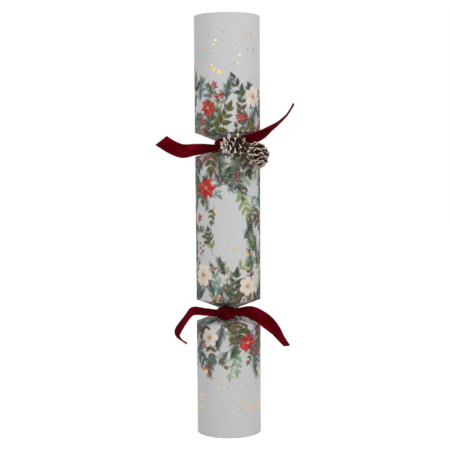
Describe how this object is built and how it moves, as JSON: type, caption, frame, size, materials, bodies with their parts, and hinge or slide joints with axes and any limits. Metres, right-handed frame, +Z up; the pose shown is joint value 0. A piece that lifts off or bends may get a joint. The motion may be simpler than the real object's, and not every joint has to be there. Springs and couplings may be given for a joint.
{
  "type": "christmas cracker",
  "caption": "Christmas cracker in printed card with die-cut chokes, velvet ribbon ties and wired pine cones; the ends pull off the barrel, which holds a snap, paper crown, motto and gift.",
  "frame": {"origin": "centre of the lower rim, on the cracker's axis", "axes": "+Z up along the cracker's axis, -Y towards the decorated front, +X to the front view's right"},
  "size_m": [0.1004, 0.0592, 0.305],
  "materials": {
    "printed_card": "matte printed card with foil dots",
    "liner_card": "raw grey board",
    "velvet": "burgundy velvet pile",
    "pine_cone": "dry brown scales with white frosted tips",
    "wire": "green-brown florist's wire",
    "snap_card": "kraft card",
    "band_paper": "thin paper",
    "snap_dab": "grey powder dab",
    "striker_grit": "abrasive dab",
    "tissue": "crimson tissue paper",
    "motto_paper": "plain paper",
    "gift_wood": "turned beech"
  },
  "bodies": {
    "lower_end": {"lower_end_sleeve": "printed_card", "lower_end_tube": "liner_card", "lower_ribbon_loop": "velvet", "lower_ribbon_knot": "velvet", "lower_ribbon_left_tail": "velvet", "lower_ribbon_right_tail": "velvet", "snap_lower_strip": "snap_card", "snap_striker": "striker_grit", "snap_band": "band_paper", "paper_crown": "tissue", "motto_slip": "motto_paper"},
    "barrel": {"barrel_sleeve": "printed_card", "barrel_tube": "liner_card"},
    "upper_end": {"upper_end_sleeve": "printed_card", "upper_end_tube": "liner_card", "upper_ribbon_loop": "velvet", "upper_ribbon_knot": "velvet", "upper_ribbon_left_tail": "velvet", "upper_ribbon_right_tail": "velvet", "cone_tie_wire": "wire", "snap_upper_strip": "snap_card", "snap_charge": "snap_dab"},
    "front_cone": {"front_pine_cone": "pine_cone", "front_cone_stem": "wire"},
    "side_cone": {"side_pine_cone": "pine_cone", "side_cone_stem": "wire"},
    "gift": {"spinning_top": "gift_wood"}
  },
  "joints": [
    {"name": "lower_pull", "type": "slide", "parent": "lower_end", "child": "barrel", "axis": [0, 0, 1], "range_m": [0, 0.12]},
    {"name": "upper_pull", "type": "slide", "parent": "barrel", "child": "upper_end", "axis": [0, 0, 1], "range_m": [0, 0.12]},
    {"name": "front_cone_turn", "type": "hinge", "parent": "upper_end", "child": "front_cone", "pos_m": [0.01491, -0.01902, 0.21345], "axis": [-0.8205, -0.5703, -0.04], "range_deg": [-60, 60]},
    {"name": "side_cone_lift", "type": "hinge", "parent": "upper_end", "child": "side_cone", "pos_m": [0.01677, -0.01447, 0.21235], "axis": [-0.6534, -0.757, 0], "range_deg": [0, 30]},
    {"name": "gift_rattle", "type": "slide", "parent": "lower_end", "child": "gift", "axis": [0, 0, 1], "range_m": [0, 0.02]}
  ]
}
